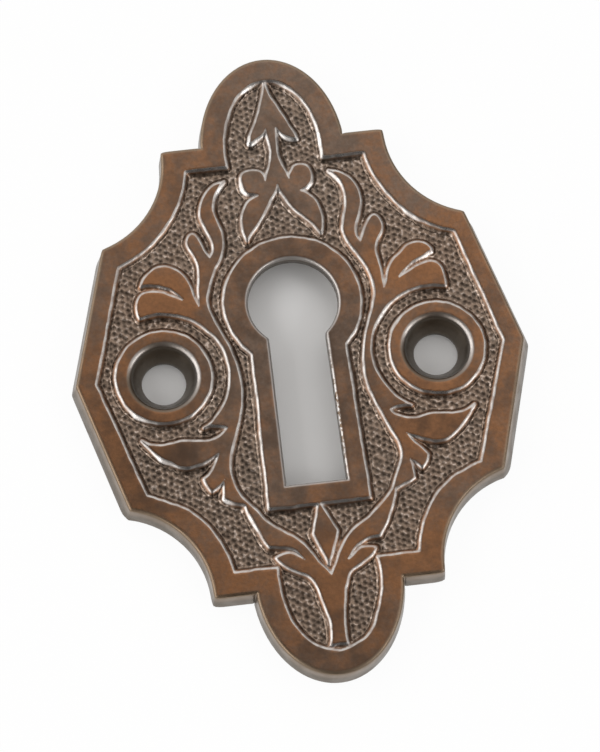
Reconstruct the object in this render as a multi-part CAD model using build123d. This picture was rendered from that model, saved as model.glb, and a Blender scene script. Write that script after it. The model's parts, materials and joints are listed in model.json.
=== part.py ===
from build123d import *
import os
from math import cos, radians, tan

# Keyhole escutcheon, cast in one piece, for the lock of a cabinet door or a drawer.
# It lies on its flat back: +Z comes out of the front and +Y runs towards the spear.
# The origin is on the back face, at the middle of the plate. Lengths are in millimetres.

# Plate
plate_height = 51.0  # front face, end of one lobe to end of the other
plate_width = 35.5  # front face, side point to side point
plate_thickness = 2.3
wall_draft = 0.15  # the back outline stands out this far past the front one
side_draft = 0.5  # the same, at the leaning sides
front_bevel = 0.25  # softened outer edge of the front
side_line_y = -0.3  # height of the side points and of both screws
side_lean = 16.3  # degrees, slope of the sides away from the side points
shelf_y = 18.5  # height of the shelves beside the lobes
lobe_width = 11.6
lobe_y = 17.6  # centre of each oval lobe
hollow_radius = 7.5  # hollow quarter round at each corner
hollow_x = 16.5
hollow_y = 18.05

# Sunk ground and its rim
ground_depth = 0.65
rim_width = 1.9
side_rim_width = 1.55

# Keyhole and the flat collar around it
eye_radius = 3.55
eye_y = 4.75
slot_width_top = 4.4
slot_width_foot = 4.7
slot_foot_y = -10.1
keyhole_bevel = 0.2
keyhole_land = 1.0  # depth of the straight wall, below which the hole opens out
keyhole_relief = 0.7  # widening at the back
collar_width = 1.85
collar_flank_top = 1.4
collar_flank_foot = 1.6
collar_foot = 1.75

# Screws
screw_spacing = 21.6
screw_hole_radius = 1.75
screw_hole_land = 0.5  # height of the straight hole below the countersink
countersink_radius = 2.65
boss_radius = 3.75
boss_ground = 1.45  # sunk ring between a boss and the scroll around it

# Lozenge below the keyhole
lozenge_width = 1.95
lozenge_middle_y = -14.2
lozenge_foot_y = -17.1

front_z = plate_thickness
ground_z = plate_thickness - ground_depth
screw_places = [(-screw_spacing / 2, side_line_y), (screw_spacing / 2, side_line_y)]


def plate_outline(inset, side_inset):
    """Front outline drawn in by inset: leaning sides, four hollow corners and two oval lobes."""

    def half_width(y):
        lean = radians(side_lean)
        return plate_width / 2 - side_inset / cos(lean) - tan(lean) * abs(y - side_line_y)

    shelf = shelf_y - inset
    right_side = [(half_width(y), y) for y in (shelf, side_line_y, -shelf)]
    left_side = [(-x, y) for x, y in reversed(right_side)]
    outline = make_face(Polyline(*right_side, *left_side, close=True))
    for up in (1, -1):
        for side in (1, -1):
            outline -= Pos(side * hollow_x, up * hollow_y) * Circle(hollow_radius + inset)
        lobe = Ellipse(lobe_width / 2 - inset, plate_height / 2 - lobe_y - inset)
        outline += Pos(0, up * lobe_y) * lobe
    return outline


def eye_and_slot(radius, half_width_top, half_width_foot, foot_y):
    """Round eye above a slot that widens a little towards its foot."""
    slot = Polyline(
        (half_width_top, eye_y),
        (half_width_foot, foot_y),
        (-half_width_foot, foot_y),
        (-half_width_top, eye_y),
        close=True,
    )
    return Pos(0, eye_y) * Circle(radius) + make_face(slot)


def keyhole_outline(grow):
    """Keyhole drawn out by grow on every side."""
    return eye_and_slot(
        eye_radius + grow,
        slot_width_top / 2 + grow,
        slot_width_foot / 2 + grow,
        slot_foot_y - grow,
    )


def collar():
    """Flat band around the keyhole."""
    return eye_and_slot(
        eye_radius + collar_width,
        slot_width_top / 2 + collar_flank_top,
        slot_width_foot / 2 + collar_flank_foot,
        slot_foot_y - collar_foot,
    )


def on_plate(x, y):
    """Place of an ornament point: drawn for a plate of 35.5 by 51, it stretches with the plate."""
    return (x * plate_width / 35.5, y * plate_height / 51.0)


def edge_along(points):
    """Line through two points, arc through three, smooth curve through more."""
    places = [on_plate(x, y) for x, y in points]
    if len(places) == 2:
        return Line(*places)
    if len(places) == 3:
        return ThreePointArc(*places)
    return Spline(*places)


def ornament(*strokes):
    """Half of an ornament, bounded by strokes that meet at its tips and notches, with its mirror."""
    edges = []
    here = strokes[0][0]
    for stroke in strokes:
        if stroke[0] != here:
            stroke = [here] + stroke
        edges.append(edge_along(stroke))
        here = stroke[-1]
    edges.append(edge_along([here, strokes[0][0]]))
    half = make_face(edges)
    return half + mirror(half, about=Plane.YZ)


def spear():
    """Arrow head on a stem, with a pair of curls and a pair of hanging leaves."""
    head_side = [(0, 23.8), (0.35, 22.2), (1.0, 20.75), (2.0, 18.4)]
    barb_underside = [(1.1, 18.7), (0.45, 19.5)]
    stem_side = [(0.4, 18.0), (0.55, 16.6), (0.95, 15.1)]
    curl = [(1.2, 15.9), (1.95, 16.33), (2.8, 15.75), (2.95, 15.0), (2.4, 14.1)]
    curl_underside = [(1.65, 13.9)]
    leaf_outside = [(2.8, 13.05), (3.2, 11.75), (2.95, 10.2)]
    leaf_inside = [(2.05, 11.4), (0.87, 12.7), (0, 14.6)]
    return ornament(
        head_side, barb_underside, stem_side, curl, curl_underside, leaf_outside, leaf_inside
    )


def scroll():
    """Scrolled frame at each side of the keyhole, joined below it in a stem that runs to the lower lobe."""
    frame_inside = [
        (0, -17.6), (0.9, -16.1), (2.2, -14.35), (3.9, -13.2), (5.5, -11.3), (6.57, -8.5), (5.75, -5.6),
        (4.87, -1.8), (5.55, 2.0), (6.53, 5.1), (5.65, 8.0), (4.62, 10.3), (5.12, 12.9), (4.2, 15.4),
    ]
    top_leaf = [(5.9, 14.35), (6.42, 12.6), (6.05, 11.4), (5.63, 10.2), (5.95, 9.1)]
    bud = [(6.55, 10.4), (7.35, 11.22), (7.8, 10.6), (7.13, 8.9), (7.15, 7.2), (7.3, 5.1)]
    upper_lobe = [(7.7, 6.25), (8.45, 8.05), (9.7, 8.8), (11.0, 8.4), (11.75, 7.35)]
    crease = [(10.0, 7.1), (8.6, 5.85)]
    lower_lobe = [(9.3, 6.22), (10.5, 6.75), (11.75, 6.65), (12.28, 5.65), (12.1, 4.65)]
    across_boss_ring = [(8.75, -5.0)]
    hook_underside = [(7.5, -4.7), (6.36, -4.95)]
    side_leaf_top = [(7.1, -5.6), (8.2, -5.85), (9.7, -5.63), (11.2, -5.78), (13.1, -5.25)]
    side_leaf_under = [(11.6, -7.0), (10.2, -7.8), (8.7, -7.6), (7.35, -7.0)]
    barb_upper = [(8.05, -8.1), (8.85, -8.85)]
    barb_end = [(8.65, -9.45), (8.3, -9.95)]
    barb_lower = [(7.7, -9.55), (7.2, -9.05)]
    spur_outside = [(7.48, -9.9), (7.55, -10.65)]
    spur_under = [(6.7, -11.05), (5.78, -11.35)]
    fan_leaf_outside = [(5.3, -13.3), (4.3, -14.9)]
    fan_leaf_under = [(2.95, -15.2), (1.7, -16.2)]
    foot_leaf_top = [(2.8, -15.72), (3.85, -15.85)]
    stem_side = [(2.6, -16.95), (1.35, -17.8), (0.85, -19.4), (0.5, -22.2), (0.6, -23.1)]
    stem_foot = [(0, -23.1)]
    frame = ornament(
        frame_inside, top_leaf, bud, upper_lobe, crease, lower_lobe, across_boss_ring, hook_underside,
        side_leaf_top, side_leaf_under, barb_upper, barb_end, barb_lower, spur_outside, spur_under,
        fan_leaf_outside, fan_leaf_under, foot_leaf_top, stem_side, stem_foot,
    )
    for place in screw_places:
        frame -= Pos(*place) * Circle(boss_radius + boss_ground)
    return frame


def lozenge():
    """Small diamond that hangs from the foot of the collar."""
    top_y = slot_foot_y - collar_foot / 2
    corners = [
        (0, top_y),
        (lozenge_width / 2, lozenge_middle_y),
        (0, lozenge_foot_y),
        (-lozenge_width / 2, lozenge_middle_y),
    ]
    return make_face(Polyline(*corners, close=True))


def sunk_ground():
    """Everything inside the rim that the raised forms leave free."""
    ground = plate_outline(rim_width, side_rim_width) - collar() - spear() - scroll() - lozenge()
    for place in screw_places:
        ground -= Pos(*place) * Circle(boss_radius)
    return ground


def layers(sections):
    """Solid with straight walls between outlines, each given as (height, outline)."""
    return loft([Pos(0, 0, z) * outline for z, outline in sections], ruled=True)


def blank_plate():
    """Plate with drafted sides and a softened front edge."""
    return layers([
        (0, plate_outline(-wall_draft, -side_draft)),
        (front_z - front_bevel, plate_outline(0, 0)),
        (front_z, plate_outline(front_bevel, front_bevel)),
    ])


def keyhole_cutter():
    """Keyhole with a softened front edge, a straight land and a relieved back."""
    return layers([
        (0, keyhole_outline(keyhole_relief)),
        (front_z - keyhole_land, keyhole_outline(0)),
        (front_z - keyhole_bevel, keyhole_outline(0)),
        (front_z, keyhole_outline(keyhole_bevel)),
    ])


def screw_hole():
    """Countersunk hole, standing on the back face."""
    profile = Polyline(
        (0, 0),
        (screw_hole_radius, 0),
        (screw_hole_radius, screw_hole_land),
        (countersink_radius, front_z),
        (0, front_z),
        close=True,
    )
    return revolve(Plane.XZ * make_face(profile), axis=Axis.Z)


def escutcheon_plate():
    """The whole casting."""
    plate = blank_plate()
    plate -= extrude(Pos(0, 0, ground_z) * sunk_ground(), amount=ground_depth)
    plate -= keyhole_cutter()
    for x, y in screw_places:
        plate -= Pos(x, y, 0) * screw_hole()
    return plate


os.makedirs("parts", exist_ok=True)
export_step(escutcheon_plate(), "parts/escutcheon_plate.step")
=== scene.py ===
import json
import logging
import math
from dataclasses import dataclass, field
from enum import IntEnum

import bpy
import numpy as np
from mathutils import Matrix, Vector
from mathutils.geometry import delaunay_2d_cdt


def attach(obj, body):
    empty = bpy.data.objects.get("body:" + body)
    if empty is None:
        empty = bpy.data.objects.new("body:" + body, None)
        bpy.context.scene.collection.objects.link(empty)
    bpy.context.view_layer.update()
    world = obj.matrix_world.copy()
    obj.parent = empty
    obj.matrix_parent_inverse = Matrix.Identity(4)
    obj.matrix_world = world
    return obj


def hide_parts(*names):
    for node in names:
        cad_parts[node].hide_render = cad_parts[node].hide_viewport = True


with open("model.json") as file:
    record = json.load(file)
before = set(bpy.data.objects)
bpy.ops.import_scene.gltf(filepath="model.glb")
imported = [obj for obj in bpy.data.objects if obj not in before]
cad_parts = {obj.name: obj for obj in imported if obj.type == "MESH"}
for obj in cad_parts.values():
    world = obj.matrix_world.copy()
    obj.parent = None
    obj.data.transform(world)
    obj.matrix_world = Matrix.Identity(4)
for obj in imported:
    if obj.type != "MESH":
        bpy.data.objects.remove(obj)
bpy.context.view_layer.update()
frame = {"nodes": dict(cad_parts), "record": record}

# Keyhole escutcheon, cast in one piece, with stippled ground, worn edges that also carry painted highlights,
# and a brown patina.
# Lengths are millimetres in the frame of the CAD model until a mesh is written, in metres.

MM = 0.001
CAST_NODE = "escutcheon_plate"
LEVEL = 0.002  # heights closer than this count as one level
CLEAR = 0.1  # a level face further than this from the front and the back belongs to the ground
ON_LINE = 1e-6  # a point closer to a line than this lies on it
SHORTEST = 1e-12  # keeps the length of a vector from being nought
PARTS = 16  # long arrays of points are compared with an outline in this many parts
TILE = 16  # a lattice is worked through in squares of this many points

log = logging.getLogger("escutcheon")


class Border(IntEnum):
    """The edges where the front face ends and a wall goes down to the back."""

    OUTSIDE = 0
    KEYHOLE = 1
    SCREW = 2


@dataclass(frozen=True)
class HandShift:
    """Area where an outline of the casting strays from its drawing, to the right and up."""

    x: float
    y: float
    half_width: float
    half_height: float
    right: float
    up: float = 0.0

    def at(self, places: np.ndarray) -> np.ndarray:
        """Move of each place: the whole move times exp(-r^2), with r in half sizes of the area.

        Args:
            places: One place a row.

        Returns:
            The moves, one a row.
        """
        away = (places - (self.x, self.y)) / (self.half_width, self.half_height)
        return np.exp(-(away**2).sum(axis=1))[:, None] * (self.right, self.up)


@dataclass(frozen=True)
class Outline:
    """Straight runs of closed loops, each run with its own face on its left.

    starts and ends hold one point a row, and loop holds the number of the loop a run belongs to.
    """

    starts: np.ndarray
    ends: np.ndarray
    loop: np.ndarray

    def moved(self, shifts: tuple[HandShift, ...]) -> "Outline":
        """The runs with both ends moved by all shifts together.

        Args:
            shifts: Moves of small areas.

        Returns:
            The moved runs.
        """
        starts = self.starts + sum(shift.at(self.starts) for shift in shifts)
        ends = self.ends + sum(shift.at(self.ends) for shift in shifts)
        return Outline(starts, ends, self.loop)

    def only(self, keep: np.ndarray) -> "Outline":
        """The runs that keep marks."""
        return Outline(self.starts[keep], self.ends[keep], self.loop[keep])

    def left_normals(self) -> np.ndarray:
        """Unit normal of each run, towards its own face: the run turned a quarter to the left.

        Returns:
            The normals, one a row.
        """
        run = self.ends - self.starts
        turned = np.stack([-run[:, 1], run[:, 0]], axis=1)
        return turned / np.linalg.norm(turned, axis=1, keepdims=True)


@dataclass
class Distances:
    """Signed distance from an outline over a lattice, positive on the outline's own face.

    uphill is the unit direction in which the distance grows, and loop the number of the nearest loop.
    """

    value: np.ndarray
    uphill: np.ndarray
    loop: np.ndarray


def smooth_step(low: float, high: float, value: np.ndarray) -> np.ndarray:
    """Rises from 0 at low to 1 at high along 3t^2 - 2t^3."""
    t = np.clip((value - low) / (high - low), 0.0, 1.0)
    return t * t * (3.0 - 2.0 * t)


def unit_rows(vectors: np.ndarray) -> np.ndarray:
    """Each row scaled to length 1."""
    return vectors / np.maximum(np.linalg.norm(vectors, axis=-1, keepdims=True), SHORTEST)


def nearest_runs(points: np.ndarray, outline: Outline) -> tuple[np.ndarray, np.ndarray, np.ndarray]:
    """Distance from each point to the closest run of an outline.

    A point is dropped onto every run, the foot is held between the run's ends, and the shortest drop wins.

    Args:
        points: One point a row.
        outline: The runs.

    Returns:
        The distances, the feet and the numbers of the runs.
    """
    along = outline.ends - outline.starts
    share = ((points[:, None] - outline.starts) * along).sum(-1) / (along**2).sum(-1)
    feet = outline.starts + np.clip(share, 0.0, 1.0)[..., None] * along
    gaps = np.linalg.norm(points[:, None] - feet, axis=-1)
    which = gaps.argmin(axis=1)
    rows = np.arange(len(points))
    return gaps[rows, which], feet[rows, which], which


def nearest_in_parts(points: np.ndarray, outline: Outline) -> tuple[np.ndarray, np.ndarray]:
    """Distances to the closest runs and the numbers of these runs, for many points."""
    found = [nearest_runs(part, outline) for part in np.array_split(points, PARTS)]
    return np.concatenate([near[0] for near in found]), np.concatenate([near[2] for near in found])


def rows_inside(xs: np.ndarray, ys: np.ndarray, outline: Outline) -> np.ndarray:
    """Even-odd rule on a lattice.

    A point is inside when an odd number of runs crosses its row to its left.

    Args:
        xs: Columns of the lattice.
        ys: Rows of the lattice.
        outline: The loops.

    Returns:
        True at each lattice point that is inside, by row and column.
    """
    inside = np.zeros((len(ys), len(xs)), bool)
    for row, y in enumerate(ys):
        across = (outline.starts[:, 1] > y) != (outline.ends[:, 1] > y)
        low, high = outline.starts[across], outline.ends[across]
        cut = low[:, 0] + (y - low[:, 1]) / (high[:, 1] - low[:, 1]) * (high[:, 0] - low[:, 0])
        inside[row] = np.searchsorted(np.sort(cut), xs) % 2 == 1
    return inside


def points_inside(points: np.ndarray, outline: Outline) -> np.ndarray:
    """Even-odd rule for loose points, as rows_inside does it for a lattice.

    Args:
        points: One point a row.
        outline: The loops.

    Returns:
        True for each point that is inside.
    """
    across = (outline.starts[:, 1] > points[:, 1:]) != (outline.ends[:, 1] > points[:, 1:])
    rise = outline.ends[:, 1] - outline.starts[:, 1]
    share = (points[:, 1:] - outline.starts[:, 1]) / np.where(rise == 0.0, 1.0, rise)
    cut = outline.starts[:, 0] + share * (outline.ends[:, 0] - outline.starts[:, 0])
    return (across & (cut < points[:, :1])).sum(axis=1) % 2 == 1


def signed_distances(xs: np.ndarray, ys: np.ndarray, outline: Outline, reach: float) -> Distances:
    """Signed distance from an outline at each lattice point, held at reach further away.

    The lattice is worked through in square tiles, each with the runs that can be within reach of it.

    Args:
        xs: Columns of the lattice.
        ys: Rows of the lattice.
        outline: The loops.
        reach: Largest distance that is worked out.

    Returns:
        The distances and their uphill directions, by row and column.
    """
    grid = np.stack(np.meshgrid(xs, ys), axis=-1)
    inside = rows_inside(xs, ys, outline)
    gap = np.full(inside.shape, reach)
    uphill = np.zeros(grid.shape)
    loop = np.full(inside.shape, -1)
    normals = outline.left_normals()
    middles = (outline.starts + outline.ends) / 2
    halves = np.linalg.norm(outline.ends - outline.starts, axis=1) / 2
    for row in range(0, len(ys), TILE):
        for column in range(0, len(xs), TILE):
            here = np.s_[row : row + TILE, column : column + TILE]
            points = grid[here].reshape(-1, 2)
            centre = (points.min(0) + points.max(0)) / 2
            radius = np.linalg.norm(points.max(0) - centre)
            near = np.linalg.norm(middles - centre, axis=1) < radius + reach + halves
            if not near.any():
                continue
            runs = outline.only(near)
            length, feet, which = nearest_runs(points, runs)
            away = unit_rows(points - feet)
            side = np.where(inside[here].reshape(-1), 1.0, -1.0)
            on_line = length < ON_LINE
            rising = np.where(on_line[:, None], normals[near][which], away * side[:, None])
            shape = inside[here].shape
            gap[here] = np.minimum(length, reach).reshape(shape)
            uphill[here] = rising.reshape(shape + (2,))
            loop[here] = runs.loop[which].reshape(shape)
    return Distances(np.where(inside, gap, -gap), uphill, loop)


def snap_labels(value: np.ndarray, levels: tuple[float, ...]) -> np.ndarray:
    """Which lattice points move onto which level line of a distance.

    Where a lattice edge crosses a level, the end nearer to it moves, so no edge is left across the line.

    Args:
        value: Distance by row and column.
        levels: Distances of the level lines, further apart than the lattice is wide.

    Returns:
        The number of the level that each point moves onto, or -1.
    """
    label = np.full(value.shape, -1)
    best = np.full(value.shape, np.inf)
    for number, level in enumerate(levels):
        off = value - level
        chosen = np.zeros(value.shape, bool)
        for first, second in ((np.s_[:-1], np.s_[1:]), (np.s_[:, :-1], np.s_[:, 1:])):
            crossing = (off[first] > 0) != (off[second] > 0)
            first_nearer = np.abs(off[first]) <= np.abs(off[second])
            chosen[first] |= crossing & first_nearer
            chosen[second] |= crossing & ~first_nearer
        better = chosen & (np.abs(off) < best)
        label[better] = number
        best[better] = np.abs(off[better])
    return label


def lone_edges(triangles: np.ndarray) -> np.ndarray:
    """The directed edges that only one triangle uses.

    Args:
        triangles: Corner numbers, one triangle a row.

    Returns:
        Start and end of each edge, one edge a row.
    """
    edges = np.concatenate([triangles[:, [0, 1]], triangles[:, [1, 2]], triangles[:, [2, 0]]])
    ordered = np.sort(edges, axis=1).astype(np.int64)
    code = ordered[:, 0] * (int(triangles.max()) + 1) + ordered[:, 1]
    _, first, count = np.unique(code, return_index=True, return_counts=True)
    return edges[np.sort(first[count == 1])]


class CadOutlines:
    """The level edges of the CAD casting: what the front, the ground and the back are bounded by."""

    def __init__(self, node: bpy.types.Object) -> None:
        """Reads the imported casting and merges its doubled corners.

        Args:
            node: The CAD node.
        """
        mesh = node.data
        mesh.calc_loop_triangles()
        places = np.empty(len(mesh.vertices) * 3)
        mesh.vertices.foreach_get("co", places)
        corners = np.empty(len(mesh.loop_triangles) * 3, dtype=np.int64)
        mesh.loop_triangles.foreach_get("vertices", corners)
        micrometres = np.round(places.reshape(-1, 3) / (MM * MM)).astype(np.int64)
        merged, number = np.unique(micrometres, axis=0, return_inverse=True)
        self.points = merged * MM
        self.triangles = number.reshape(-1)[corners].reshape(-1, 3)
        heights = self.points[self.triangles, 2]
        level = np.ptp(heights, axis=1) < LEVEL
        self.front_z = float(heights.max())
        self.back_z = float(heights.min())
        low, high = self.back_z + CLEAR, self.front_z - CLEAR
        between = level & (heights[:, 0] < high) & (heights[:, 0] > low)
        self.ground_z = float(np.median(heights[between, 0]))

    def border(self, z: float) -> Outline:
        """The loops around the level faces at height z.

        Args:
            z: Height of the faces.

        Returns:
            Their edges, with the loops numbered by merging the numbers of joined edges.
        """
        at_height = (np.abs(self.points[self.triangles, 2] - z) < LEVEL).all(axis=1)
        edges = lone_edges(self.triangles[at_height])
        loop = np.arange(len(self.points))
        while True:
            lower = np.minimum(loop[edges[:, 0]], loop[edges[:, 1]])
            joined = loop.copy()
            np.minimum.at(joined, edges[:, 0], lower)
            np.minimum.at(joined, edges[:, 1], lower)
            joined = joined[joined]
            if (joined == loop).all():
                break
            loop = joined
        return Outline(self.points[edges[:, 0], :2], self.points[edges[:, 1], :2], loop[edges[:, 0]])

    @staticmethod
    def loops_by_border(
        outline: Outline, spots: dict[Border, list[tuple[float, float]]]
    ) -> dict[int, Border]:
        """Which loop is which border.

        The widest loop is the outside, and a hole is the smallest loop around a spot.

        Args:
            outline: All loops at one height.
            spots: For each hole, points inside it.

        Returns:
            Loop number to border.
        """
        numbers = np.unique(outline.loop)
        low = np.array([outline.starts[outline.loop == n].min(0) for n in numbers])
        high = np.array([outline.starts[outline.loop == n].max(0) for n in numbers])
        size = (high - low).prod(axis=1)
        found = {int(numbers[size.argmax()]): Border.OUTSIDE}
        for border, places in spots.items():
            for spot in places:
                around = (low < spot).all(axis=1) & (high > spot).all(axis=1)
                found[int(numbers[np.where(around, size, np.inf).argmin()])] = border
        return found


@dataclass(frozen=True)
class Ripple:
    """Slow unevenness of a hand-finished pattern: a sum of sine waves in seeded directions."""

    longest: float = 6.0
    shortest: float = 0.9
    waves: int = 14
    crest: float = 1.6
    seed: int = 5

    def at(self, x: np.ndarray, y: np.ndarray) -> np.ndarray:
        """Value around 0, mostly between -1 and 1.

        It is the waves' sum over the root of half their number, and over the crest.

        Args:
            x: Across the plate.
            y: Up the plate.

        Returns:
            The value at each point.
        """
        random = np.random.default_rng(self.seed)
        length = np.geomspace(self.longest, self.shortest, self.waves)
        turn = random.uniform(0.0, 2.0 * math.pi, (2, self.waves))
        total = np.zeros(np.shape(x))
        for size, angle, phase in zip(length, turn[0], turn[1]):
            along = x * math.cos(angle) + y * math.sin(angle)
            total += np.sin(along * (2.0 * math.pi / size) + phase)
        return total / math.sqrt(self.waves / 2) / self.crest


@dataclass(frozen=True)
class ReliefSection:
    """Section across the wall of a raised form: depth below the front at distances out from its edge."""

    distances: tuple[float, ...] = (-0.1, 0.02, 0.15, 0.28)
    depths: tuple[float, ...] = (0.0, 0.03, 0.115, 0.215)
    foot: float = 0.4
    foot_depth: float = 0.4

    def depth(self, distance: np.ndarray) -> np.ndarray:
        """Depth at each distance: straight between the section's points, then the level ground."""
        return np.interp(distance, (*self.distances, self.foot), (*self.depths, self.foot_depth))


@dataclass(frozen=True)
class Stipple:
    """Punched ground: round pits in upright columns, staggered by half a pitch.

    stray is how far a pit may lie off its place, and weakest the least share of the whole depth. The strays
    and depths come from a square table, which repeats.
    """

    pitch: float = 0.5
    radius: float = 0.25
    stray: float = 0.08
    weakest: float = 0.55
    depth: float = 0.065
    table: int = 128
    seed: int = 11

    def height(self, x: np.ndarray, y: np.ndarray) -> np.ndarray:
        """Height of the pattern: 1 on the ridges, and 1 - s * (1 - (d / radius)^2) inside a pit.

        d is the distance from the pit's middle and s its strength. Each point looks at the nine places
        around it, and the deepest pit counts.

        Args:
            x: Across the plate.
            y: Up the plate.

        Returns:
            The height at each point, from 0 to 1.
        """
        random = np.random.default_rng(self.seed)
        aside, above = random.uniform(-self.stray, self.stray, (2, self.table, self.table))
        strength = random.uniform(self.weakest, 1.0, (self.table, self.table))
        width = self.pitch * math.sqrt(0.75)
        near_column = np.round(x / width).astype(int)
        deepest = np.zeros(np.shape(x))
        for column in (near_column - 1, near_column, near_column + 1):
            stagger = column % 2 / 2
            near_row = np.round(y / self.pitch - stagger).astype(int)
            for row in (near_row - 1, near_row, near_row + 1):
                pit = (column % self.table, row % self.table)
                across = x - column * width - aside[pit]
                along = y - (row + stagger) * self.pitch - above[pit]
                share = 1.0 - (across**2 + along**2) / self.radius**2
                deepest = np.maximum(deepest, strength[pit] * share)
        return 1.0 - deepest


@dataclass(frozen=True)
class Rounding:
    """Softened edge of the front: a quarter of an ellipse, from inside the border to outside it.

    With power 2 it is a plain ellipse, and a higher power gives a squarer edge.
    """

    inside: float
    outside: float
    drop: float
    power: float = 2.0

    def depth(self, inwards: np.ndarray) -> np.ndarray:
        """Depth below the front at a distance inwards of the border: drop * (1 - (1 - s^p)^(1/p))."""
        share = np.clip((self.inside - inwards) / (self.inside + self.outside), 0.0, 1.0)
        return self.drop * (1.0 - (1.0 - share**self.power) ** (1.0 / self.power))

    def steps(self, count: int) -> np.ndarray:
        """Distances outwards of the border for rings at even turns of the ellipse, down to its end.

        Args:
            count: Number of rings.

        Returns:
            The distances.
        """
        run = self.inside + self.outside
        first = math.asin((self.inside / run) ** (self.power / 2))
        turn = np.linspace(first, math.pi / 2, count + 1)[1:]
        return run * np.sin(turn) ** (2 / self.power) - self.inside


@dataclass(frozen=True)
class WallSection:
    """Sections of the walls from the front's borders to the back.

    A section is a row of steps outwards and a row of heights above the back, for rings below the rounding.
    The outside's steps go to the CAD model's own back outline, as shares of the way there.
    """

    roundings: dict[Border, Rounding] = field(
        default_factory=lambda: {
            Border.OUTSIDE: Rounding(0.08, 0.25, 0.3, 2.4),
            Border.KEYHOLE: Rounding(0.1, 0.2, 0.3),
            Border.SCREW: Rounding(0.36, 0.16, 0.46),
        }
    )
    rounding_rings: int = 4
    outside_shares: tuple[float, ...] = (0.12, 0.36, 0.62, 0.86, 1.0, 0.96)
    outside_heights: tuple[float, ...] = (1.6, 1.2, 0.75, 0.3, 0.07, 0.0)
    keyhole_out: tuple[float, ...] = (0.2, 0.2, 0.05, -0.25, -0.49, -0.5)
    keyhole_heights: tuple[float, ...] = (1.75, 1.3, 1.02, 0.48, 0.05, 0.0)
    screw_out: tuple[float, ...] = (0.3, 0.56, 0.8, 0.9, 0.9, 0.86)
    screw_heights: tuple[float, ...] = (1.66, 1.17, 0.7, 0.48, 0.06, 0.0)

    def rings(self) -> int:
        """Number of rings below the front's border."""
        return self.rounding_rings + len(self.outside_shares)

    def around(self, border: Border, front_z: float, way: np.ndarray) -> tuple[np.ndarray, np.ndarray]:
        """Steps and heights of every ring for one kind of border.

        Args:
            border: Which border.
            front_z: Height of the front.
            way: Distance to the back outline at each point, used on the outside.

        Returns:
            Steps outwards by ring and point, and the height of each ring.
        """
        rounding = self.roundings[border]
        steps = rounding.steps(self.rounding_rings)
        depths = rounding.depth(-steps)
        across = np.repeat(steps[:, None], len(way), axis=1)
        if border is Border.OUTSIDE:
            shares = np.array(self.outside_shares)[:, None]
            below = rounding.outside + (way - rounding.outside) * shares
            heights = self.outside_heights
        elif border is Border.KEYHOLE:
            below = np.repeat(np.array(self.keyhole_out)[:, None], len(way), axis=1)
            heights = self.keyhole_heights
        else:
            below = np.repeat(np.array(self.screw_out)[:, None], len(way), axis=1)
            heights = self.screw_heights
        return np.concatenate([across, below]), np.concatenate([front_z - depths, heights])


@dataclass
class Sheet:
    """Part of the casting's skin: points, triangles and what the finish reads at each point.

    relief is the distance out from the nearest raised edge. border is the distance in from the front's
    border, and below 0 the depth down a wall. hole says which border is near, as HOLE_VALUES gives it.
    """

    points: np.ndarray
    triangles: np.ndarray
    relief: np.ndarray
    border: np.ndarray
    hole: np.ndarray


SHEET_VALUES = ("relief", "border", "hole")
HOLE_VALUES = {Border.OUTSIDE: 0.0, Border.KEYHOLE: 0.5, Border.SCREW: 1.0}


@dataclass(frozen=True)
class FlatMap:
    """Map of the skin for baking, from 0 to 1: the front, the walls as strips, and a small back."""

    margin: float = 0.01
    front_height: float = 0.98
    strips_from: float = 0.73
    strip_gap: float = 0.06
    strip_width: float = 0.05
    strip_length: float = 0.57
    back_height: float = 0.37

    def level(self, corners: np.ndarray, low: np.ndarray, high: np.ndarray, back: bool) -> np.ndarray:
        """Places of the front's or the back's corners: x and y scaled alike.

        Args:
            corners: Points by triangle and corner.
            low: Lowest point of the casting.
            high: Highest point of the casting.
            back: Whether it is the back.

        Returns:
            Map places by triangle and corner.
        """
        size = self.back_height if back else self.front_height
        start = (self.strips_from, 1.0 - self.margin - size) if back else (self.margin, self.margin)
        return start + (corners[..., :2] - low[:2]) * (size / (high[1] - low[1]))

    def strip(
        self, corners: np.ndarray, centre: np.ndarray, number: np.ndarray, height: float
    ) -> np.ndarray:
        """Places of the walls' corners: a strip for each border, along it by angle, across it by depth.

        Args:
            corners: Points by triangle and corner.
            centre: Middle of each triangle's border.
            number: Number of each triangle's strip.
            height: Height of the casting.

        Returns:
            Map places by triangle and corner.
        """
        away = corners[..., :2] - centre[:, None]
        turn = np.arctan2(away[..., 1], away[..., 0]) / (2.0 * math.pi) % 1.0
        over_seam = np.ptp(turn, axis=1)[:, None] > 0.5
        turn = turn + (over_seam & (turn < 0.5))
        across = self.strips_from + self.strip_gap * number[:, None]
        across = across + self.strip_width * (1.0 - corners[..., 2] / height)
        return np.stack([across, self.margin + self.strip_length * turn], axis=-1)


@dataclass(frozen=True)
class HighlightArc:
    """Painted highlight on part of a screw hole's mouth, where the lamps' reflection falls: its middle and
    half its length, in degrees.
    """

    middle: float
    half: float

    def at(self, angle: np.ndarray) -> np.ndarray:
        """Strength of the painted highlight at each angle: exp(-r^2), with r the turn from the middle in
        halves.
        """
        turn = (angle - self.middle + 180.0) % 360.0 - 180.0
        return np.exp(-((turn / self.half) ** 2))


@dataclass(frozen=True)
class PatinaSpot:
    """Place where the finish is warmer, darker or more worn, or less so where the strength is below 0."""

    x: float
    y: float
    half_width: float
    half_height: float
    strength: float

    def at(self, x: np.ndarray, y: np.ndarray) -> np.ndarray:
        """Strength around the place: it falls off as exp(-r^2), with r in half sizes."""
        across, along = (x - self.x) / self.half_width, (y - self.y) / self.half_height
        return self.strength * np.exp(-(across**2 + along**2))


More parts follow.
